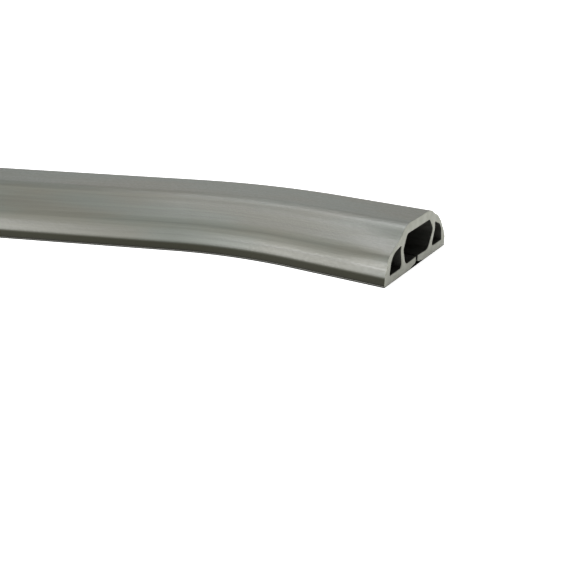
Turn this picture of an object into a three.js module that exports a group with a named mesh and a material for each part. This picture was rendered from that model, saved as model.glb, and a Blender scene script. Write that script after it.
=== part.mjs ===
// A length of over-floor cable channel: one flexible extrusion with a flat base, short upright
// toes, sloping flanks and a flat plateau. Three channels run through it, and a slit along the
// underside lets cables into the middle one. The strip lies flat and bends sideways near one end.
// Millimetres, +Z up. The long straight run lies along X, and the strip bends towards -Y at its
// +X end. The origin is the middle of the footprint, on the floor.
import * as THREE from "three";

// Overall size
const LENGTH = 1524; // along the middle of the strip, straight runs and bend together
const WIDTH = 76;
const HEIGHT = 25.4;

// Outside of the section
const TOE_HEIGHT = 5; // upright edge where the foot meets the floor
const TOE_RADIUS = 1.6; // softened crease above the toe
const KNEE_INSET = 3.6; // how far the flank has come in from the toe at its knee
const KNEE_HEIGHT = 14;
const KNEE_RADIUS = 14;
const PLATEAU_WIDTH = 30;
const SHOULDER_RADIUS = 9;

// Walls
const FLOOR = 4.3; // thickness under all three channels
const ROOF = 5.1; // thickness over the middle channel
const TOE_WALL = 4.8; // between a side channel and the toe
const KNEE_WALL = 3; // between a side channel's outer corner and the knee
const WEB_HEAD = 3.8; // web between the channels, at the tip of a side channel
const WEB_WAIST = 3; // web between the channels, at the waist of the middle one
const WEB_FOOT = 4.5; // web between the channels, at the floor

// Middle channel
const CENTRE_FLOOR_WIDTH = 28.8;
const CENTRE_WAIST_WIDTH = 37;
const CENTRE_WAIST_HEIGHT = 13; // above the underside of the strip
const CENTRE_ROOF_WIDTH = 28.8;
const CENTRE_FLOOR_RADIUS = 5;
const CENTRE_WAIST_RADIUS = 3;
const CENTRE_ROOF_RADIUS = 2.4;

// Side channels
const SIDE_TIP_HEIGHT = 16.4; // above the underside of the strip
const SIDE_TIP_RADIUS = 0.7;
const SIDE_WAIST_RADIUS = 4;
const SIDE_WEB_RADIUS = 2; // floor corner at the web
const SIDE_TOE_RADIUS = 1; // floor corner at the toe
const SIDE_KNEE_RADIUS = 7;

// Slit along the underside, with a flap of the floor on either side of it
const SLIT_WIDTH = 2;
const SLIT_FLARE = 0.8; // chamfer on each lip, where the cables are pushed in
const FLAP_START = 9; // from the middle of the strip to the root of a flap
const FLAP_LIFT = 1.5; // how far the underside of a flap has risen at the slit
const FLAP_CAMBER = 0.5; // how far the top of a flap has risen at the slit

// Lie of the strip, seen from above
const END_RUN = 52; // straight from the bend to the end that shows
const BEND_RADIUS = 225; // to the middle of the strip
const BEND_ANGLE = THREE.MathUtils.degToRad(20.4);

// Fineness of the round stretches
const CORNER_SEGMENTS = 4;
const BEND_SEGMENTS = 8;

const COLOUR = "#85867d";
const ROUGHNESS = 0.55;

// A fillet takes at most this share of the edge on either side of it.
const FILLET_SHARE = 0.45;

function corner(across, up, radius = 0) {
  return { point: new THREE.Vector2(across, up), radius };
}

// Draws a closed outline through the corners, with each corner rounded to its radius.
function drawOutline(path, corners) {
  corners.forEach((here, index) => {
    const before = corners.at(index - 1).point;
    const after = corners[(index + 1) % corners.length].point;
    const back = before.clone().sub(here.point);
    const ahead = after.clone().sub(here.point);
    const halfAngle = Math.acos(back.dot(ahead) / (back.length() * ahead.length())) / 2;
    const room = FILLET_SHARE * Math.min(back.length(), ahead.length());
    const reach = Math.min(here.radius / Math.tan(halfAngle), room);
    const start = here.point.clone().add(back.setLength(reach));
    const end = here.point.clone().add(ahead.setLength(reach));
    if (index === 0) {
      path.moveTo(start.x, start.y);
    } else {
      path.lineTo(start.x, start.y);
    }
    if (reach > 0) {
      path.quadraticCurveTo(here.point.x, here.point.y, end.x, end.y);
    }
  });
  path.closePath();
  return path;
}

// The same corners on the other side of the strip, in the order that carries the outline on.
function mirrored(corners) {
  return corners.map(({ point, radius }) => corner(-point.x, point.y, radius)).reverse();
}

// How far the middle channel's wall stands from the middle of the strip at a height.
function centreWallAt(height) {
  const waist = CENTRE_WAIST_WIDTH / 2;
  if (height < CENTRE_WAIST_HEIGHT) {
    const risen = (height - FLOOR) / (CENTRE_WAIST_HEIGHT - FLOOR);
    return THREE.MathUtils.lerp(CENTRE_FLOOR_WIDTH / 2, waist, risen);
  }
  const risen = (height - CENTRE_WAIST_HEIGHT) / (HEIGHT - ROOF - CENTRE_WAIST_HEIGHT);
  return THREE.MathUtils.lerp(waist, CENTRE_ROOF_WIDTH / 2, risen);
}

// The skin and the middle channel are one outline, joined through the slit.
function skinAndCentreChannel() {
  const skinRight = [
    corner(SLIT_WIDTH / 2 + SLIT_FLARE, FLAP_LIFT),
    corner(FLAP_START, 0),
    corner(WIDTH / 2, 0),
    corner(WIDTH / 2, TOE_HEIGHT, TOE_RADIUS),
    corner(WIDTH / 2 - KNEE_INSET, KNEE_HEIGHT, KNEE_RADIUS),
    corner(PLATEAU_WIDTH / 2, HEIGHT, SHOULDER_RADIUS),
  ];
  const channelLeft = [
    corner(-SLIT_WIDTH / 2, FLAP_LIFT + SLIT_FLARE),
    corner(-SLIT_WIDTH / 2, FLOOR + FLAP_CAMBER),
    corner(-CENTRE_FLOOR_WIDTH / 2, FLOOR, CENTRE_FLOOR_RADIUS),
    corner(-CENTRE_WAIST_WIDTH / 2, CENTRE_WAIST_HEIGHT, CENTRE_WAIST_RADIUS),
    corner(-CENTRE_ROOF_WIDTH / 2, HEIGHT - ROOF, CENTRE_ROOF_RADIUS),
  ];
  const loop = [...skinRight, ...mirrored(skinRight), ...channelLeft, ...mirrored(channelLeft)];
  return drawOutline(new THREE.Shape(), loop);
}

// One side channel, on the side that `side` gives as 1 or -1.
function sideChannel(side) {
  const corners = [
    corner(WIDTH / 2 - TOE_WALL, FLOOR, SIDE_TOE_RADIUS),
    corner(WIDTH / 2 - KNEE_INSET - KNEE_WALL, KNEE_HEIGHT, SIDE_KNEE_RADIUS),
    corner(centreWallAt(SIDE_TIP_HEIGHT) + WEB_HEAD, SIDE_TIP_HEIGHT, SIDE_TIP_RADIUS),
    corner(CENTRE_WAIST_WIDTH / 2 + WEB_WAIST, CENTRE_WAIST_HEIGHT, SIDE_WAIST_RADIUS),
    corner(CENTRE_FLOOR_WIDTH / 2 + WEB_FOOT, FLOOR, SIDE_WEB_RADIUS),
  ];
  return drawOutline(new THREE.Path(), side > 0 ? corners : mirrored(corners));
}

// Points along the middle of the strip, each with its heading, from the plain end to the bent one.
function centreline() {
  const bendLength = BEND_RADIUS * BEND_ANGLE;
  const bendStart = new THREE.Vector2(LENGTH - END_RUN - bendLength, 0);
  const stations = [{ point: new THREE.Vector2(0, 0), heading: 0 }];
  for (let step = 0; step <= BEND_SEGMENTS; step += 1) {
    const turned = (BEND_ANGLE * step) / BEND_SEGMENTS;
    const along = BEND_RADIUS * Math.sin(turned);
    const aside = BEND_RADIUS * (1 - Math.cos(turned));
    stations.push({ point: bendStart.clone().add({ x: along, y: -aside }), heading: -turned });
  }
  const bendEnd = stations.at(-1).point;
  const run = new THREE.Vector2(END_RUN, 0).rotateAround(new THREE.Vector2(), -BEND_ANGLE);
  stations.push({ point: bendEnd.clone().add(run), heading: -BEND_ANGLE });
  return stations;
}

// Extrudes the section by one unit for each stretch, then lays each slice at its station.
function stripGeometry() {
  const section = skinAndCentreChannel();
  section.holes.push(sideChannel(1), sideChannel(-1));
  const stations = centreline();
  const stretches = stations.length - 1;
  const geometry = new THREE.ExtrudeGeometry(section, {
    depth: stretches,
    steps: stretches,
    curveSegments: CORNER_SEGMENTS,
    bevelEnabled: false,
  });
  const position = geometry.attributes.position;
  for (let index = 0; index < position.count; index += 1) {
    const station = stations[Math.round(position.getZ(index))];
    const across = position.getX(index);
    const x = station.point.x - across * Math.sin(station.heading);
    const y = station.point.y + across * Math.cos(station.heading);
    position.setXYZ(index, x, y, position.getY(index));
  }
  geometry.computeBoundingBox();
  const middle = geometry.boundingBox.getCenter(new THREE.Vector3());
  geometry.translate(-middle.x, -middle.y, 0);
  geometry.computeVertexNormals();
  return geometry;
}

const vinyl = new THREE.MeshStandardMaterial({
  color: COLOUR,
  roughness: ROUGHNESS,
  metalness: 0,
});

const strip = new THREE.Mesh(stripGeometry(), vinyl);
strip.name = "channel_strip";

const cableChannel = new THREE.Group();
cableChannel.name = "cable_channel";
cableChannel.add(strip);

export default cableChannel;
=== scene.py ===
"""Dresses a length of over-floor cable channel, one flexible extrusion in warm grey vinyl.

The strip is drawn as its section, carried along the straight run, round the sideways bend and out
to the end that shows, then cut square at both ends. Everything is in metres, +Z up, in the frame of
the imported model: the straight run lies along X and the strip bends towards -Y at its +X end.
"""

import logging
import math
from dataclasses import dataclass, field
from enum import IntEnum

import bmesh
import bpy
from bmesh.types import BMEdge, BMesh, BMFace, BMLayerItem, BMVert
from bpy.types import Material, Node, NodeSocket, Object
from mathutils import Matrix, Vector, noise


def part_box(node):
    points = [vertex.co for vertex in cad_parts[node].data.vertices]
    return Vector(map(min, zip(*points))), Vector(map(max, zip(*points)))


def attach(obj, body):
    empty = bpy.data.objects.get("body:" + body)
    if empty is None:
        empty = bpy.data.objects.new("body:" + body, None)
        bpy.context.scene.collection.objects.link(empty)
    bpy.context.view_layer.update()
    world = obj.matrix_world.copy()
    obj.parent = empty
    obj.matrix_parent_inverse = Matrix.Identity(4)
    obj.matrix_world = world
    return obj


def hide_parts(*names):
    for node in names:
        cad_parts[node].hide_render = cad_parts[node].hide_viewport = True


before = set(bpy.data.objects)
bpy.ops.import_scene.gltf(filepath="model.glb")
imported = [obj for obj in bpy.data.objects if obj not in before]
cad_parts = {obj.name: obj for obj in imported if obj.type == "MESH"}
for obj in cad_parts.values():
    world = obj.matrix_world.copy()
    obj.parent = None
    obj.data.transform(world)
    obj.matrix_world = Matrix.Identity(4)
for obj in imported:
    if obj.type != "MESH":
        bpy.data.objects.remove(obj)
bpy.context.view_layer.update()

MM = 0.001

# Names of the mesh layers: the surface of each side of the section, and each point's place in the
# straight stock.
SURFACE = "surface"
STOCK_PLACE = "stock_place"

# Ranges of a noise's values: its middle, most of it, and nearly all of it.
MIDDLE = (0.35, 0.65)
MOST = (0.3, 0.7)
NEARLY_ALL = (0.2, 0.8)

Colour = tuple[float, float, float, float]
Span = tuple[float, float]

log = logging.getLogger("cable_channel")


def opaque(red: float, green: float, blue: float) -> Colour:
    """A linear colour that lets nothing through."""
    return (red, green, blue, 1.0)


WHITE = opaque(1.0, 1.0, 1.0)


def make_object(name: str, shape: BMesh) -> Object:
    """Turns a finished shape into an object of the scene, and frees the shape.

    Args:
        name: Name of the object and of its mesh.
        shape: The shape, with its place in it.

    Returns:
        The object, at the origin.
    """
    mesh = bpy.data.meshes.new(name)
    shape.to_mesh(mesh)
    shape.free()
    piece = bpy.data.objects.new(name, mesh)
    bpy.context.scene.collection.objects.link(piece)
    return piece


class Surface(IntEnum):
    """The surfaces of the stock. Each value is also the number of the strip's material slot."""

    SKIN = 0
    UNDERSIDE = 1
    BORE = 2
    CUT = 3


@dataclass(frozen=True)
class Corner:
    """A corner of an outline in the section, and the surface of the side that leaves it.

    Attributes:
        across: Place across the strip, from its middle.
        up: Height above the underside.
        radius: Radius that the corner is rounded to.
        surface: Surface that the side from here to the next corner belongs to.
    """

    across: float
    up: float
    radius: float = 0.0
    surface: Surface = Surface.SKIN

    @property
    def point(self) -> Vector:
        """The corner as a point of the section plane, X = 0."""
        return Vector((0.0, self.across, self.up))


@dataclass(frozen=True)
class Groove:
    """A shallow lengthwise hollow in the skin.

    Attributes:
        across: Where its middle is, from the middle of the strip.
        width: Distance over which it fades out to either side.
        depth: How deep it is in the middle.
    """

    across: float
    width: float
    depth: float

    def depth_at(self, across: float) -> float:
        """How deep the groove is at a place across the strip, on either side of the middle."""
        return self.depth * math.exp(-(((abs(across) - self.across) / self.width) ** 2))


class OutlinePen:
    """Draws outlines into the section plane of a bmesh with straight strokes and true arcs."""

    ARC_PITCH = math.radians(5.0)
    FEWEST_ARC_STEPS = 2

    def __init__(self, stock: BMesh, pitch: dict[Surface, float]) -> None:
        """Sets the pen up.

        Args:
            stock: Mesh that is drawn into.
            pitch: Longest step of a straight stroke on each surface.
        """
        self.stock = stock
        self.pitch = pitch
        self.surface_of = stock.edges.layers.int.new(SURFACE)
        self.tip: BMVert | None = None

    def _stroke(self, target: Vector, surface: Surface) -> None:
        """Draws straight to a point, in steps no longer than the surface's pitch.

        Args:
            target: Where the stroke ends.
            surface: Surface that the stroke belongs to.
        """
        way = target - self.tip.co
        steps = max(1, math.ceil(way.length / self.pitch[surface]))
        for _ in range(steps):
            made = bmesh.ops.extrude_vert_indiv(self.stock, verts=[self.tip])
            self.tip = made["verts"][0]
            made["edges"][0][self.surface_of] = surface
            bmesh.ops.translate(self.stock, verts=[self.tip], vec=way / steps)

    def _arc(self, centre: Vector, turn: float, surface: Surface) -> None:
        """Draws an arc from where the pen is.

        Args:
            centre: Centre of the arc.
            turn: Angle that the outline turns by, counterclockwise as seen from +X.
            surface: Surface that the arc belongs to.
        """
        steps = max(self.FEWEST_ARC_STEPS, math.ceil(abs(turn) / self.ARC_PITCH))
        for _ in range(steps):
            before = self.tip
            made = bmesh.ops.spin(
                self.stock,
                geom=[before],
                cent=centre,
                axis=Vector((1.0, 0.0, 0.0)),
                angle=turn / steps,
                steps=1,
                use_merge=False,
            )
            self.tip = next(item for item in made["geom_last"] if isinstance(item, BMVert))
            edge = next(edge for edge in self.tip.link_edges if before in edge.verts)
            edge[self.surface_of] = surface

    def draw(self, corners: list[Corner], closed: bool) -> None:
        """Draws one outline through its corners.

        Args:
            corners: The corners in order, none of the end corners of an open outline rounded.
            closed: Whether the outline runs back to its first corner.
        """
        count = len(corners)
        first: BMVert | None = None
        for index in range(count):
            here = corners[index]
            before = corners[index - 1].point - here.point
            after = corners[(index + 1) % count].point - here.point
            half_angle = before.angle(after) / 2
            start = here.point + before.normalized() * (here.radius / math.tan(half_angle))
            if self.tip is None:
                self.tip = self.stock.verts.new(start)
                first = self.tip
            else:
                self._stroke(start, corners[index - 1].surface)
            if here.radius > 0:
                turn = math.copysign(math.pi - 2 * half_angle, (-before).cross(after).x)
                inward = (before.normalized() + after.normalized()).normalized()
                centre = here.point + inward * (here.radius / math.sin(half_angle))
                self._arc(centre, turn, here.surface)
        if closed:
            self._stroke(first.co, corners[-1].surface)
            bmesh.ops.weld_verts(self.stock, targetmap={self.tip: first})
        self.tip = None


@dataclass(frozen=True)
class Section:
    """The section of the stock, and its fine relief.

    Its sizes are the solid's own, apart from three that follow the sawn end more closely: the
    shoulder is rounder, the slit a little more open, and its flaps a little lower. The foot's edge
    is eased.
    """

    width: float = 76.0 * MM
    height: float = 25.4 * MM

    toe_height: float = 5.0 * MM
    toe_radius: float = 1.6 * MM
    foot_radius: float = 0.5 * MM
    knee_inset: float = 3.6 * MM
    knee_height: float = 14.0 * MM
    knee_radius: float = 14.0 * MM
    plateau_width: float = 30.0 * MM
    shoulder_radius: float = 12.0 * MM

    floor: float = 4.3 * MM
    roof: float = 5.1 * MM
    toe_wall: float = 4.8 * MM
    knee_wall: float = 3.0 * MM
    web_head: float = 3.8 * MM
    web_waist: float = 3.0 * MM
    web_foot: float = 4.5 * MM

    centre_floor_width: float = 28.8 * MM
    centre_waist_width: float = 37.0 * MM
    centre_waist_height: float = 13.0 * MM
    centre_roof_width: float = 28.8 * MM
    centre_floor_radius: float = 5.0 * MM
    centre_waist_radius: float = 3.0 * MM
    centre_roof_radius: float = 2.4 * MM

    side_tip_height: float = 16.4 * MM
    side_tip_radius: float = 0.7 * MM
    side_waist_radius: float = 4.0 * MM
    side_web_radius: float = 2.0 * MM
    side_toe_radius: float = 1.0 * MM
    side_knee_radius: float = 7.0 * MM

    slit_width: float = 2.6 * MM
    slit_flare: float = 0.8 * MM
    flap_start: float = 9.0 * MM
    flap_lift: float = 1.3 * MM
    flap_camber: float = 0.5 * MM

    skin_pitch: float = 0.6 * MM
    bore_pitch: float = 4.0 * MM
    seam_reach: float = 0.01 * MM

    grooves: tuple[Groove, ...] = (
        Groove(across=14.8 * MM, width=0.55 * MM, depth=0.12 * MM),
        Groove(across=20.5 * MM, width=1.6 * MM, depth=0.07 * MM),
        Groove(across=0.0, width=8.0 * MM, depth=0.12 * MM),
    )
    ripple_height: float = 0.022 * MM
    ripple_pitch: float = 1.9 * MM

    def _centre_wall_at(self, height: float) -> float:
        """How far the middle channel's wall stands from the middle of the strip.

        Args:
            height: Height above the underside, above the waist of the channel.

        Returns:
            Half the channel's width at that height.
        """
        rise = self.height - self.roof - self.centre_waist_height
        risen = (height - self.centre_waist_height) / rise
        narrowing = (self.centre_waist_width - self.centre_roof_width) / 2
        return self.centre_waist_width / 2 - risen * narrowing

    def _half_outline(self) -> list[Corner]:
        """The skin, the underside, the slit and the middle channel, on the +Y side.

        Returns:
            Corners from the middle of the plateau, down the flank and back under it to the slit,
            then up round the middle channel to the middle of its roof.
        """
        half = self.width / 2
        slit = self.slit_width / 2
        lip = self.flap_lift + self.slit_flare
        ceiling = self.height - self.roof
        under, bore = Surface.UNDERSIDE, Surface.BORE
        return [
            Corner(0.0, self.height),
            Corner(self.plateau_width / 2, self.height, self.shoulder_radius),
            Corner(half - self.knee_inset, self.knee_height, self.knee_radius),
            Corner(half, self.toe_height, self.toe_radius),
            Corner(half, 0.0, self.foot_radius, under),
            Corner(self.flap_start, 0.0, 0.0, under),
            Corner(slit + self.slit_flare, self.flap_lift, 0.0, under),
            Corner(slit, lip, 0.0, bore),
            Corner(slit, self.floor + self.flap_camber, 0.0, bore),
            Corner(self.centre_floor_width / 2, self.floor, self.centre_floor_radius, bore),
            Corner(
                self.centre_waist_width / 2,
                self.centre_waist_height,
                self.centre_waist_radius,
                bore,
            ),
            Corner(self.centre_roof_width / 2, ceiling, self.centre_roof_radius, bore),
            Corner(0.0, ceiling, 0.0, bore),
        ]

    def _side_channel(self) -> list[Corner]:
        """The side channel on the +Y side.

        Returns:
            Its corners, from the one beside the toe and up.
        """
        half, bore = self.width / 2, Surface.BORE
        knee = half - self.knee_inset - self.knee_wall
        tip = self._centre_wall_at(self.side_tip_height) + self.web_head
        waist = self.centre_waist_width / 2 + self.web_waist
        foot = self.centre_floor_width / 2 + self.web_foot
        return [
            Corner(half - self.toe_wall, self.floor, self.side_toe_radius, bore),
            Corner(knee, self.knee_height, self.side_knee_radius, bore),
            Corner(tip, self.side_tip_height, self.side_tip_radius, bore),
            Corner(waist, self.centre_waist_height, self.side_waist_radius, bore),
            Corner(foot, self.floor, self.side_web_radius, bore),
        ]

    def _relieve(self, stock: BMesh, surface_of: BMLayerItem) -> None:
        """Presses the grooves and the die's faint ripple into the skin.

        Args:
            stock: Mesh that holds the drawn section.
            surface_of: Edge layer that names each side's surface.
        """
        moves: list[tuple[BMVert, Vector]] = []
        for vert in stock.verts:
            if any(edge[surface_of] != Surface.SKIN for edge in vert.link_edges):
                continue
            one, other = (edge.other_vert(vert).co for edge in vert.link_edges)
            outward = (one - other).cross(Vector((1.0, 0.0, 0.0))).normalized()
            if outward.dot(vert.co - Vector((0.0, 0.0, self.floor))) < 0:
                outward.negate()
            sunk = sum(groove.depth_at(vert.co.y) for groove in self.grooves)
            rough = 0.5 + 0.5 * noise.noise(vert.co / self.ripple_pitch)
            moves.append((vert, -outward * (sunk + self.ripple_height * rough)))
        for vert, move in moves:
            bmesh.ops.translate(stock, verts=[vert], vec=move)

    def draw(self, stock: BMesh) -> None:
        """Draws the whole section into the plane X = 0.

        Args:
            stock: Empty mesh that takes the outlines.
        """
        pitch = {surface: self.bore_pitch for surface in Surface}
        pitch[Surface.SKIN] = self.skin_pitch
        pen = OutlinePen(stock, pitch)
        pen.draw(self._half_outline(), closed=False)
        pen.draw(self._side_channel(), closed=True)
        half = [*stock.verts, *stock.edges]
        bmesh.ops.mirror(stock, geom=half, axis="Y", merge_dist=self.seam_reach)
        self._relieve(stock, pen.surface_of)


@dataclass(frozen=True)
class Stretches:
    """How many stretches each part of a lie is carried in."""

    run: int
    bend: int
    end: int


@dataclass(frozen=True)
class Lie:
    """How the strip lies on the floor, seen from above.

    Attributes:
        start: Middle of the plain end, on the floor.
        length: Length along the middle of the strip.
        end_run: Straight stretch from the bend to the bent end.
        bend_radius: Radius of the bend, to the middle of the strip.
        bend_angle: Angle that the bend turns the strip by, towards -Y.
    """

    start: Vector
    length: float = 1524.0 * MM
    end_run: float = 52.0 * MM
    bend_radius: float = 225.0 * MM
    bend_angle: float = math.radians(20.4)

    @property
    def straight_run(self) -> float:
        """Length of the straight stretch from the plain end to the bend."""
        return self.length - self.end_run - self.bend_radius * self.bend_angle

    @property
    def bend_centre(self) -> Vector:
        """Centre of the bend, on the floor."""
        return self.start + Vector((self.straight_run, -self.bend_radius, 0.0))

    def heading(self) -> Vector:
        """Direction of the strip where it leaves the bend."""
        return Vector((math.cos(self.bend_angle), -math.sin(self.bend_angle), 0.0))

    def bent_end(self) -> Matrix:
        """Frame of the bent end: X out along the strip, Y across it, Z up."""
        turn = Matrix.Rotation(-self.bend_angle, 4, "Z")
        bend_finish = self.bend_centre + turn @ Vector((0.0, self.bend_radius, 0.0))
        return Matrix.Translation(bend_finish + self.heading() * self.end_run) @ turn

    def across_at(self, along: float) -> Vector:
        """Direction across the strip, towards its +Y side, at a distance from the plain end."""
        turned = min(self.bend_angle, max(0.0, (along - self.straight_run) / self.bend_radius))
        return Vector((math.sin(turned), math.cos(turned), 0.0))

    def straightened(self, point: Vector) -> Vector:
        """Where a point of the strip was in the straight stock.

        Args:
            point: A point in the frame.

        Returns:
            Its distance from the plain end, its place across the strip, and its height.
        """
        if point.x <= self.start.x + self.straight_run:
            return point - self.start
        at_end = self.bent_end().inverted() @ point
        if at_end.x >= -self.end_run:
            return Vector((self.length + at_end.x, at_end.y, at_end.z))
        spoke = point - self.bend_centre
        turned = math.atan2(spoke.x, spoke.y)
        across = spoke.xy.length - self.bend_radius
        return Vector((self.straight_run + self.bend_radius * turned, across, point.z))

    @staticmethod
    def _straight(shape: BMesh, edges: list[BMEdge], way: Vector, count: int) -> list[BMEdge]:
        """Extrudes edges straight.

        Args:
            shape: Mesh that holds the edges.
            edges: The edges.
            way: How far they go, in all.
            count: Number of stretches.

        Returns:
            The edges at the far end.
        """
        for _ in range(count):
            made = bmesh.ops.extrude_edge_only(shape, edges=edges)
            verts = [item for item in made["geom"] if isinstance(item, BMVert)]
            edges = [item for item in made["geom"] if isinstance(item, BMEdge)]
            bmesh.ops.translate(shape, verts=verts, vec=way / count)
        return edges

    def _round(self, shape: BMesh, edges: list[BMEdge], count: int) -> list[BMEdge]:
        """Spins edges round the bend.

        Args:
            shape: Mesh that holds the edges.
            edges: The edges, where the bend starts.
            count: Number of stretches.

        Returns:
            The edges where the bend ends.
        """
        verts = dict.fromkeys(vert for edge in edges for vert in edge.verts)
        made = bmesh.ops.spin(
            shape,
            geom=[*verts, *edges],
            cent=self.bend_centre,
            axis=Vector((0.0, 0.0, 1.0)),
            angle=-self.bend_angle,
            steps=count,
            use_merge=False,
        )
        return [item for item in made["geom_last"] if isinstance(item, BMEdge)]

    def carry(
        self,
        shape: BMesh,
        edges: list[BMEdge],
        stretches: Stretches,
        inset: float = 0.0,
    ) -> list[BMEdge]:
        """Carries edges from the plain end to the bent one, along the whole lie.

        Args:
            shape: Mesh that holds the edges.
            edges: The edges, at the plain end.
            stretches: How many stretches each part of the lie is carried in.
            inset: How far short of each end they start and stop.

        Returns:
            The edges at the bent end.
        """
        run = Vector((self.straight_run - inset, 0.0, 0.0))
        edges = self._straight(shape, edges, run, stretches.run)
        edges = self._round(shape, edges, stretches.bend)
        return self._straight(shape, edges, self.heading() * (self.end_run - inset), stretches.end)


@dataclass(frozen=True)
class Strain:
    """How far the sawn end is out of its section in one place.

    Attributes:
        across: Place of its middle across the strip.
        up: Height of its middle.
        reach: Distance over which it fades out.
        aside: How far it moves the middle across the strip, towards the +Y side.
        lift: How far it moves the middle up.
    """

    across: float
    up: float
    reach: float
    aside: float
    lift: float

    def share(self, place: Vector) -> float:
        """How much of the move a place of the section takes part in."""
        apart = math.hypot(place.y - self.across, place.z - self.up) / self.reach
        return math.exp(-(apart**2))


@dataclass(frozen=True)
class Squeeze:
    """What the bend does to the soft section where the saw has freed it.

    The flank on the inside of the bend sinks below its shoulder and swells at its knee. The one on
    the outside is drawn in at its knee and bulges at its shoulder. The webs lean to the outside.

    Attributes:
        reach: Length over which the squeeze fades out from the bent end.
        skin: Strains of the skin, the inside of the bend first.
        walls: Strains of the channels' walls, the outside of the bend first.
    """

    reach: float = 28.0 * MM
    skin: tuple[Strain, ...] = (
        Strain(-24.5 * MM, 20.5 * MM, 4.5 * MM, aside=0.38 * MM, lift=-0.80 * MM),
        Strain(-35.0 * MM, 13.2 * MM, 4.0 * MM, aside=-0.65 * MM, lift=0.55 * MM),
        Strain(34.5 * MM, 13.5 * MM, 5.0 * MM, aside=-1.05 * MM, lift=-0.85 * MM),
        Strain(25.5 * MM, 20.5 * MM, 4.0 * MM, aside=0.25 * MM, lift=0.40 * MM),
    )
    walls: tuple[Strain, ...] = (
        Strain(22.5 * MM, 16.8 * MM, 3.5 * MM, aside=0.0, lift=0.85 * MM),
        Strain(18.5 * MM, 14.5 * MM, 4.5 * MM, aside=1.30 * MM, lift=0.50 * MM),
        Strain(-21.5 * MM, 10.0 * MM, 4.0 * MM, aside=0.70 * MM, lift=0.0),
    )

    def apply(self, stock: BMesh, lie: Lie) -> None:
        """Moves the carried section, more and more towards the bent end.

        Args:
            stock: Mesh that holds the open strip.
            lie: How the strip lies.
        """
        surface_of = stock.edges.layers.int[SURFACE]
        for vert in stock.verts:
            place = lie.straightened(vert.co)
            ramp = 1.0 - (lie.length - place.x) / self.reach
            if ramp <= 0.0:
                continue
            smooth_ramp = ramp * ramp * (3.0 - 2.0 * ramp)
            on_skin = all(edge[surface_of] == Surface.SKIN for edge in vert.link_edges)
            strains = self.skin if on_skin else self.walls
            across = lie.across_at(place.x)
            move = Vector((0.0, 0.0, 0.0))
            for strain in strains:
                share = strain.share(place) * smooth_ramp
                move += across * strain.aside * share
                move.z += strain.lift * share
            vert.co += move


@dataclass(frozen=True)
class Pattern:
    """A noise on the straight stock.

    Attributes:
        along: How often it varies in a metre along the stock.
        across: The same across it.
        up: The same upwards.
        detail: How many finer layers it has.
    """

    along: float
    across: float
    up: float
    detail: float = 3.0


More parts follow.
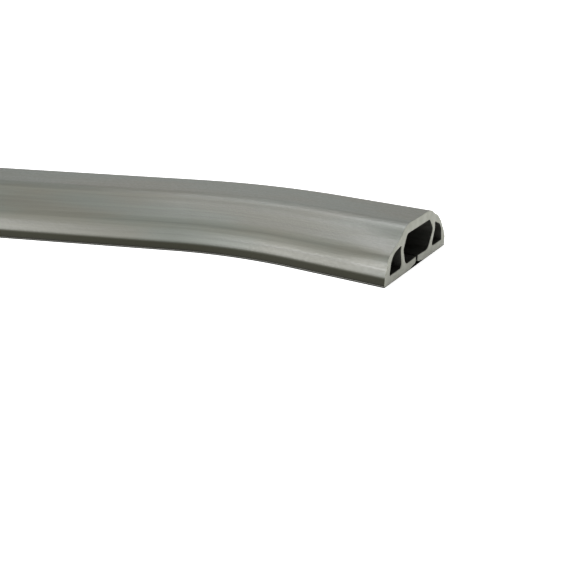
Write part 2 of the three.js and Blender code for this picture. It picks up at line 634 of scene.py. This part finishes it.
class NodeBench:
    """A material's node tree, with short calls for the nodes that the finishes share."""

    # Sockets of a Mix node that mixes colours. Their names repeat, so they go by number.
    MIX_FACTOR = 0
    MIX_LOW = 6
    MIX_HIGH = 7
    MIX_RESULT = 2

    def __init__(self, name: str) -> None:
        """Starts a material with only its shader.

        Args:
            name: Name of the material.
        """
        self.material = bpy.data.materials.new(name)
        self.material.use_nodes = True
        self.tree = self.material.node_tree
        self.shader = self.tree.nodes["Principled BSDF"]
        self.place = self.add("ShaderNodeAttribute", attribute_name=STOCK_PLACE).outputs["Vector"]

    def add(self, kind: str, **settings: object) -> Node:
        """Adds a node.

        Args:
            kind: Blender's type name of the node.
            settings: Properties to set on it.

        Returns:
            The new node.
        """
        node = self.tree.nodes.new(kind)
        for name, value in settings.items():
            setattr(node, name, value)
        return node

    def feed(self, socket: NodeSocket, source: NodeSocket | float | Colour) -> None:
        """Links a socket to its source, or sets it to a value."""
        if isinstance(source, NodeSocket):
            self.tree.links.new(source, socket)
        else:
            socket.default_value = source

    def cloud(self, pattern: Pattern) -> NodeSocket:
        """Adds noise on the straightened place.

        Args:
            pattern: How the noise varies.

        Returns:
            The noise, from 0 to 1, mostly near 0.5.
        """
        mapping = self.add("ShaderNodeMapping")
        self.feed(mapping.inputs["Vector"], self.place)
        mapping.inputs["Scale"].default_value = (pattern.along, pattern.across, pattern.up)
        texture = self.add("ShaderNodeTexNoise")
        self.feed(texture.inputs["Vector"], mapping.outputs["Vector"])
        texture.inputs["Scale"].default_value = 1.0
        texture.inputs["Detail"].default_value = pattern.detail
        return texture.outputs["Fac"]

    def spread(self, source: NodeSocket, span: Span, result: Span = (0.0, 1.0)) -> NodeSocket:
        """Maps a value smoothly from one range to another.

        Args:
            source: The value.
            span: Range that it is read over.
            result: What the ends of the range become.

        Returns:
            The mapped value, held inside the result's range.
        """
        node = self.add("ShaderNodeMapRange", interpolation_type="SMOOTHSTEP")
        self.feed(node.inputs["Value"], source)
        node.inputs["From Min"].default_value, node.inputs["From Max"].default_value = span
        node.inputs["To Min"].default_value, node.inputs["To Max"].default_value = result
        return node.outputs["Result"]

    def sum(self, *sources: NodeSocket) -> NodeSocket:
        """Adds values up."""
        total = sources[0]
        for source in sources[1:]:
            node = self.add("ShaderNodeMath", operation="ADD")
            self.feed(node.inputs[0], total)
            self.feed(node.inputs[1], source)
            total = node.outputs["Value"]
        return total

    def mix(
        self,
        factor: NodeSocket | float,
        low: NodeSocket | Colour,
        high: NodeSocket | Colour,
        blend: str = "MIX",
    ) -> NodeSocket:
        """Mixes two colours.

        Args:
            factor: Share of the second colour.
            low: The first colour.
            high: The second colour.
            blend: How they are mixed.

        Returns:
            The mixed colour.
        """
        node = self.add("ShaderNodeMix", data_type="RGBA", blend_type=blend)
        self.feed(node.inputs[self.MIX_FACTOR], factor)
        self.feed(node.inputs[self.MIX_LOW], low)
        self.feed(node.inputs[self.MIX_HIGH], high)
        return node.outputs[self.MIX_RESULT]

    def shade(self, colour: NodeSocket, share: NodeSocket) -> NodeSocket:
        """Darkens a colour to a share of itself."""
        return self.mix(1.0, colour, share, "MULTIPLY")

    def height_of_place(self) -> NodeSocket:
        """The height above the underside."""
        split = self.add("ShaderNodeSeparateXYZ")
        self.feed(split.inputs["Vector"], self.place)
        return split.outputs["Z"]

    def finish(
        self,
        colour: NodeSocket,
        roughness: NodeSocket,
        relief: NodeSocket,
        relief_height: float,
    ) -> Material:
        """Connects the shader.

        Args:
            colour: Base colour.
            roughness: Roughness.
            relief: Height of the fine relief, from 0 to about 1.
            relief_height: What a relief of 1 stands for.

        Returns:
            The finished material.
        """
        bump = self.add("ShaderNodeBump")
        self.feed(bump.inputs["Height"], relief)
        bump.inputs["Strength"].default_value = 1.0
        bump.inputs["Distance"].default_value = relief_height
        self.feed(self.shader.inputs["Base Color"], colour)
        self.feed(self.shader.inputs["Roughness"], roughness)
        self.feed(self.shader.inputs["Normal"], bump.outputs["Normal"])
        return self.material


@dataclass(frozen=True)
class SkinFinish:
    """Satin vinyl as it leaves the die: warm and cool grey clouds, fine lengthwise streaks.

    The toes carry painted shade: darker and duller, and nearly black at the floor, where a
    painted contact shadow lies. Where a pair of values belongs to a pattern, it is what the low
    and the high end of the pattern become.
    """

    warm: Colour = opaque(0.122, 0.122, 0.100)
    cool: Colour = opaque(0.112, 0.122, 0.105)
    # Painted shade: toe is the toe band darkened as if shaded, foot is a near-black painted contact
    # shadow along the floor, and the toe's gloss drops with them.
    toe: Colour = opaque(0.016, 0.016, 0.009)
    foot: Colour = opaque(0.004, 0.004, 0.003)
    toe_height: float = 5.0 * MM
    toe_fade: float = 1.4 * MM
    painted_shade_height: float = 1.8 * MM
    shaded_toe_gloss: float = 0.12
    gloss: float = 0.5

    clouds: Pattern = Pattern(14.0, 60.0, 60.0, detail=4.0)
    streaks: Pattern = Pattern(5.0, 520.0, 520.0, detail=4.0)
    hairlines: Pattern = Pattern(22.0, 2600.0, 2600.0, detail=2.0)
    grain: Pattern = Pattern(600.0, 900.0, 900.0)

    cloud_shade: Span = (0.50, 0.56)
    streak_shade: Span = (0.18, 0.36)
    hairline_shade: Span = (0.10, 0.22)
    streak_roughness: Span = (0.21, 0.29)
    grain_roughness: Span = (0.15, 0.23)
    streak_relief: Span = (0.0, 0.45)
    hairline_relief: Span = (0.0, 0.2)
    grain_relief: Span = (0.0, 0.60)
    relief_height: float = 0.035 * MM

    def material(self) -> Material:
        """Builds the material."""
        bench = NodeBench("vinyl_skin")
        clouds = bench.cloud(self.clouds)
        streaks = bench.cloud(self.streaks)
        hairlines = bench.cloud(self.hairlines)
        grain = bench.cloud(self.grain)
        body = bench.mix(bench.spread(clouds, MIDDLE), self.warm, self.cool)
        shade = bench.sum(
            bench.spread(streaks, MOST, self.streak_shade),
            bench.spread(hairlines, MOST, self.hairline_shade),
            bench.spread(clouds, MOST, self.cloud_shade),
        )
        body = bench.shade(body, shade)
        height = bench.height_of_place()
        # Painted shade on the toe and a painted contact shadow at the floor, fading out above them.
        crease = (self.toe_height - self.toe_fade, self.toe_height + self.toe_fade)
        out_of_toe_shade = bench.spread(height, crease)
        out_of_contact_shadow = bench.spread(height, (0.0, self.painted_shade_height))
        body = bench.mix(out_of_toe_shade, bench.mix(out_of_contact_shadow, self.foot, self.toe), body)
        gloss = bench.spread(out_of_toe_shade, (0.0, 1.0), (self.shaded_toe_gloss, self.gloss))
        bench.feed(bench.shader.inputs["Specular IOR Level"], gloss)
        roughness = bench.sum(
            bench.spread(streaks, MOST, self.streak_roughness),
            bench.spread(grain, MOST, self.grain_roughness),
        )
        relief = bench.sum(
            bench.spread(streaks, NEARLY_ALL, self.streak_relief),
            bench.spread(hairlines, NEARLY_ALL, self.hairline_relief),
            bench.spread(grain, NEARLY_ALL, self.grain_relief),
        )
        return bench.finish(body, roughness, relief, self.relief_height)


@dataclass(frozen=True)
class CutFinish:
    """The sawn ends: paler and matt, painted shade towards the foot, faint saw marks across them.
    """

    pale: Colour = opaque(0.360, 0.366, 0.312)
    dull: Colour = opaque(0.305, 0.312, 0.258)
    # Painted shade: the cut darkens to this share at the floor and fades out by this height.
    painted_shade_share: float = 0.78
    painted_shade_height: float = 13.0 * MM
    marks: Pattern = Pattern(0.0, 260.0, 2400.0)
    blotches: Pattern = Pattern(0.0, 220.0, 220.0)
    mark_shade: Span = (0.92, 1.0)
    mark_roughness: Span = (0.55, 0.70)
    relief_height: float = 0.06 * MM

    def material(self) -> Material:
        """Builds the material."""
        bench = NodeBench("sawn_vinyl")
        marks = bench.cloud(self.marks)
        blotches = bench.cloud(self.blotches)
        colour = bench.mix(bench.spread(blotches, MIDDLE), self.dull, self.pale)
        colour = bench.shade(colour, bench.spread(marks, MOST, self.mark_shade))
        # Painted shade, darkest at the floor.
        height = bench.height_of_place()
        painted_foot_shade = bench.spread(height, (0.0, self.painted_shade_height), (self.painted_shade_share, 1.0))
        colour = bench.shade(colour, painted_foot_shade)
        roughness = bench.spread(marks, MOST, self.mark_roughness)
        return bench.finish(colour, roughness, marks, self.relief_height)


@dataclass(frozen=True)
class BoreFinish:
    """The inside of the channels: the same vinyl, dull, and darkened by painted shade."""

    # Painted shade: both colours are the skin's vinyl darkened as if unlit inside the channels.
    colour: Colour = opaque(0.016, 0.016, 0.013)
    shaded_streak_colour: Colour = opaque(0.028, 0.028, 0.023)
    streaks: Pattern = Pattern(6.0, 500.0, 500.0)
    roughness: Span = (0.50, 0.62)
    relief_height: float = 0.03 * MM

    def material(self) -> Material:
        """Builds the material."""
        bench = NodeBench("channel_wall_painted_shade")
        streaks = bench.cloud(self.streaks)
        colour = bench.mix(bench.spread(streaks, MOST), self.colour, self.shaded_streak_colour)
        roughness = bench.spread(streaks, MOST, self.roughness)
        return bench.finish(colour, roughness, streaks, self.relief_height)


@dataclass(frozen=True)
class UndersideFinish:
    """The foot that lies on the floor: matt, with faint drag marks along it."""

    colour: Colour = opaque(0.120, 0.121, 0.105)
    dusty: Colour = opaque(0.170, 0.168, 0.150)
    drags: Pattern = Pattern(9.0, 240.0, 240.0, detail=5.0)
    roughness: Span = (0.55, 0.75)
    relief_height: float = 0.05 * MM

    def material(self) -> Material:
        """Builds the material."""
        bench = NodeBench("vinyl_underside")
        drags = bench.cloud(self.drags)
        colour = bench.mix(bench.spread(drags, MOST), self.colour, self.dusty)
        roughness = bench.spread(drags, MOST, self.roughness)
        return bench.finish(colour, roughness, drags, self.relief_height)


@dataclass(frozen=True)
class ChannelStrip:
    """The strip itself: the section carried along its lie and cut square at both ends.

    Attributes:
        section: The section.
        lie: How the strip lies.
        squeeze: What the bend does to the sawn end.
        stretches: How many stretches the strip is carried in.
        cut_ease: Width and depth of the eased edge round each cut.
        crease: Angle from which an edge between two faces is shaded as a sharp one.
        name: Name of the piece.
    """

    section: Section
    lie: Lie
    squeeze: Squeeze = Squeeze()
    stretches: Stretches = Stretches(run=14, bend=24, end=16)
    cut_ease: float = 0.22 * MM
    crease: float = math.radians(28.0)
    name: str = "channel_strip_vinyl"

    def _cut(self, stock: BMesh, ring: list[BMEdge]) -> list[BMFace]:
        """Closes an end with a sawn face that has a slightly eased edge.

        Args:
            stock: Mesh that holds the ring.
            ring: Edges of the section at the end.

        Returns:
            The faces of the cut and of its eased edge.
        """
        filled = bmesh.ops.triangle_fill(stock, edges=ring, use_beauty=True, use_dissolve=False)
        faces = [item for item in filled["geom"] if isinstance(item, BMFace)]
        bmesh.ops.recalc_face_normals(stock, faces=stock.faces)
        eased = bmesh.ops.inset_region(
            stock,
            faces=faces,
            thickness=self.cut_ease,
            depth=self.cut_ease,
            use_boundary=True,
            use_even_offset=True,
        )
        return [*faces, *eased["faces"]]

    def _sort_surfaces(self, stock: BMesh, cuts: list[BMFace]) -> None:
        """Gives each face its material slot, and creases the sharp edges.

        Args:
            stock: The closed strip.
            cuts: Faces of the two sawn ends.
        """
        surface_of = stock.edges.layers.int[SURFACE]
        sawn = set(cuts)
        for face in stock.faces:
            face.smooth = True
            if face in sawn:
                face.material_index = Surface.CUT
            else:
                face.material_index = max(edge[surface_of] for edge in face.edges)
        for edge in stock.edges:
            edge.smooth = edge.calc_face_angle(0.0) < self.crease

    def build(self) -> Object:
        """Builds the strip's mesh and its object.

        Returns:
            The strip, without its materials.
        """
        stock = bmesh.new()
        self.section.draw(stock)
        inset = Vector((self.cut_ease, 0.0, 0.0))
        bmesh.ops.translate(stock, verts=stock.verts, vec=self.lie.start + inset)
        plain_ring = list(stock.edges)
        bent_ring = self.lie.carry(stock, plain_ring, self.stretches, self.cut_ease)
        self.squeeze.apply(stock, self.lie)
        cuts = self._cut(stock, plain_ring) + self._cut(stock, bent_ring)
        self._sort_surfaces(stock, cuts)
        place = stock.verts.layers.float_vector.new(STOCK_PLACE)
        for vert in stock.verts:
            vert[place] = self.lie.straightened(vert.co)
        return make_object(self.name, stock)

    def dress(self, strip: Object) -> None:
        """Gives the strip its materials and its place in the frame.

        Args:
            strip: The object that build returned.
        """
        finishes = {
            Surface.SKIN: SkinFinish(toe_height=self.section.toe_height),
            Surface.UNDERSIDE: UndersideFinish(),
            Surface.BORE: BoreFinish(),
            Surface.CUT: CutFinish(),
        }
        for surface in Surface:
            strip.data.materials.append(finishes[surface].material())
        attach(strip, "root")
        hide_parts("channel_strip")


@dataclass(frozen=True)
class PhotoCamera:
    """The camera, placed from the middle of the bent end's foot.

    Attributes:
        place: Out along the strip, across it and up, in the frame of the bent end.
        yaw: Turn of the view to the left of square-on to the strip's end run.
        dip: How far the view points down.
        roll: Turn about the view, counterclockwise.
        focal_pixels: Focal length in pixels of the picture.
        picture_pixels: Width of the picture.
        sensor_width: Width of the sensor, in millimetres.
        nearest: Nearest distance that it sees.
        farthest: Farthest distance that it sees.
    """

    place: Vector = field(default_factory=lambda: Vector((0.1527, -0.3858, 0.1483)))
    yaw: float = math.radians(30.81)
    dip: float = math.radians(21.37)
    roll: float = math.radians(0.75)
    focal_pixels: float = 860.0
    picture_pixels: float = 570.0
    sensor_width: float = 36.0
    nearest: float = 0.01
    farthest: float = 60.0

    def build(self, bent_end: Matrix) -> Object:
        """Places the camera and makes it the scene's.

        Args:
            bent_end: Frame of the bent end.

        Returns:
            The camera.
        """
        lens = bpy.data.cameras.new("photo_camera")
        lens.sensor_width = self.sensor_width
        lens.lens = self.sensor_width * self.focal_pixels / self.picture_pixels
        lens.clip_start = self.nearest
        lens.clip_end = self.farthest
        camera = bpy.data.objects.new("photo_camera", lens)
        level = math.pi / 2
        turn = (
            Matrix.Rotation(self.yaw, 4, "Z")
            @ Matrix.Rotation(level - self.dip, 4, "X")
            @ Matrix.Rotation(self.roll, 4, "Z")
        )
        camera.matrix_world = bent_end @ Matrix.Translation(self.place) @ turn
        bpy.context.scene.collection.objects.link(camera)
        bpy.context.scene.camera = camera
        return camera


@dataclass(frozen=True)
class Softbox:
    """One soft light, aimed at a point of the strip.

    Attributes:
        name: Name of the light.
        bearing: Direction to it, clockwise from -Y as seen from above, in degrees.
        elevation: Its height above the horizon, in degrees.
        distance: Distance from the point that it is aimed at.
        size: Width and height.
        power: Watts.
    """

    name: str
    bearing: float
    elevation: float
    distance: float
    size: tuple[float, float]
    power: float

    def build(self, target: Vector) -> Object:
        """Makes the light.

        Args:
            target: Point that it is aimed at.

        Returns:
            The light.
        """
        bearing, elevation = math.radians(self.bearing), math.radians(self.elevation)
        away = Vector(
            (
                -math.sin(bearing) * math.cos(elevation),
                -math.cos(bearing) * math.cos(elevation),
                math.sin(elevation),
            )
        )
        lamp = bpy.data.lights.new(self.name, "AREA")
        lamp.shape = "RECTANGLE"
        lamp.size, lamp.size_y = self.size
        lamp.energy = self.power
        light = bpy.data.objects.new(self.name, lamp)
        light.location = target + away * self.distance
        light.rotation_euler = away.to_track_quat("Z", "Y").to_euler()
        bpy.context.scene.collection.objects.link(light)
        return light


@dataclass(frozen=True)
class StageFinish:
    """A plain matt finish for what the strip stands on.

    Attributes:
        colour: Its colour.
        glow: Strength of its own white light.
        roughness: Its roughness.
    """

    colour: Colour
    glow: float = 0.0
    roughness: float = 0.9

    def material(self, name: str) -> Material:
        """Builds the material under a name."""
        material = bpy.data.materials.new(name)
        material.use_nodes = True
        shader = material.node_tree.nodes["Principled BSDF"]
        shader.inputs["Base Color"].default_value = self.colour
        shader.inputs["Roughness"].default_value = self.roughness
        shader.inputs["Specular IOR Level"].default_value = 0.0
        shader.inputs["Emission Color"].default_value = WHITE
        shader.inputs["Emission Strength"].default_value = self.glow
        return material


@dataclass(frozen=True)
class Studio:
    """A plain pale floor under soft light.

    Attributes:
        floor_reach: Half the side of the square floor.
        floor_drop: How far the floor lies below the strip's foot.
        floor_finish: Finish of the floor, which glows a little, so that it stays white.
        contact_drop: How far the line of contact lies below the strip's foot.
        contact_margin: How far the line of contact shows beside the strip.
        contact_stretches: How many stretches the line of contact is carried in.
        contact_finish: Finish of the line of contact.
        surround: Strength of the light from all round.
        softboxes: The lights.
    """

    floor_reach: float = 20.0
    floor_drop: float = 0.06 * MM
    floor_finish: StageFinish = StageFinish(opaque(0.90, 0.90, 0.90), glow=0.80)
    contact_drop: float = 0.03 * MM
    contact_margin: float = 0.5 * MM
    contact_stretches: Stretches = Stretches(run=1, bend=24, end=1)
    contact_finish: StageFinish = StageFinish(opaque(0.004, 0.004, 0.003))
    surround: float = 0.33
    softboxes: tuple[Softbox, ...] = (
        Softbox("overhead", 148.0, 68.0, 0.62, (0.30, 0.32), 2.8),
        Softbox("front_left", 50.0, 8.0, 1.20, (0.60, 0.20), 16.0),
        Softbox("rear_low", 164.0, 15.0, 1.60, (1.30, 0.50), 1.3),
    )

    def _contact(self, lie: Lie, half_width: float) -> Object:
        """Makes the dark line where the strip meets the floor, which light doesn't reach.

        Args:
            lie: How the strip lies.
            half_width: Half the width of the strip.

        Returns:
            A dark ribbon on the floor, a hair wider than the strip.
        """
        ribbon = bmesh.new()
        edge = half_width + self.contact_margin
        ends = [Vector((0.0, side, -self.contact_drop)) for side in (-edge, edge)]
        line = [ribbon.edges.new([ribbon.verts.new(lie.start + end) for end in ends])]
        lie.carry(ribbon, line, self.contact_stretches)
        shade = make_object("contact_shade", ribbon)
        shade.data.materials.append(self.contact_finish.material("contact_shade"))
        return shade

    def _floor(self) -> Object:
        """Makes the floor."""
        board = bmesh.new()
        bmesh.ops.create_grid(board, x_segments=1, y_segments=1, size=self.floor_reach)
        bmesh.ops.translate(board, verts=board.verts, vec=Vector((0.0, 0.0, -self.floor_drop)))
        floor = make_object("studio_floor", board)
        floor.data.materials.append(self.floor_finish.material("studio_floor"))
        return floor

    def build(self, lie: Lie, half_width: float) -> None:
        """Makes the floor, the surround and the lights, aimed at the bent end.

        Args:
            lie: How the strip lies.
            half_width: Half the width of the strip.
        """
        target = lie.bent_end().translation
        self._floor()
        self._contact(lie, half_width)
        world = bpy.data.worlds.new("studio")
        world.use_nodes = True
        background = world.node_tree.nodes["Background"]
        background.inputs["Color"].default_value = WHITE
        background.inputs["Strength"].default_value = self.surround
        bpy.context.scene.world = world
        for softbox in self.softboxes:
            softbox.build(target)
        bpy.context.scene.view_settings.view_transform = "Standard"


def main() -> None:
    """Builds the strip, the camera and the studio, and reports each."""
    logging.basicConfig(level=logging.INFO, format="%(name)s: %(message)s")
    low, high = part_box("channel_strip")
    section = Section()
    lie = Lie(start=Vector((low.x, high.y - section.width / 2, 0.0)))
    bent_end = lie.bent_end()
    PhotoCamera().build(bent_end)
    log.info("camera placed from the bent end")
    strip = ChannelStrip(section, lie)
    piece = strip.build()
    strip.dress(piece)
    log.info("%s: %d faces", piece.name, len(piece.data.polygons))
    Studio().build(lie, section.width / 2)
    log.info("studio built")


if __name__ == "__main__":
    main()
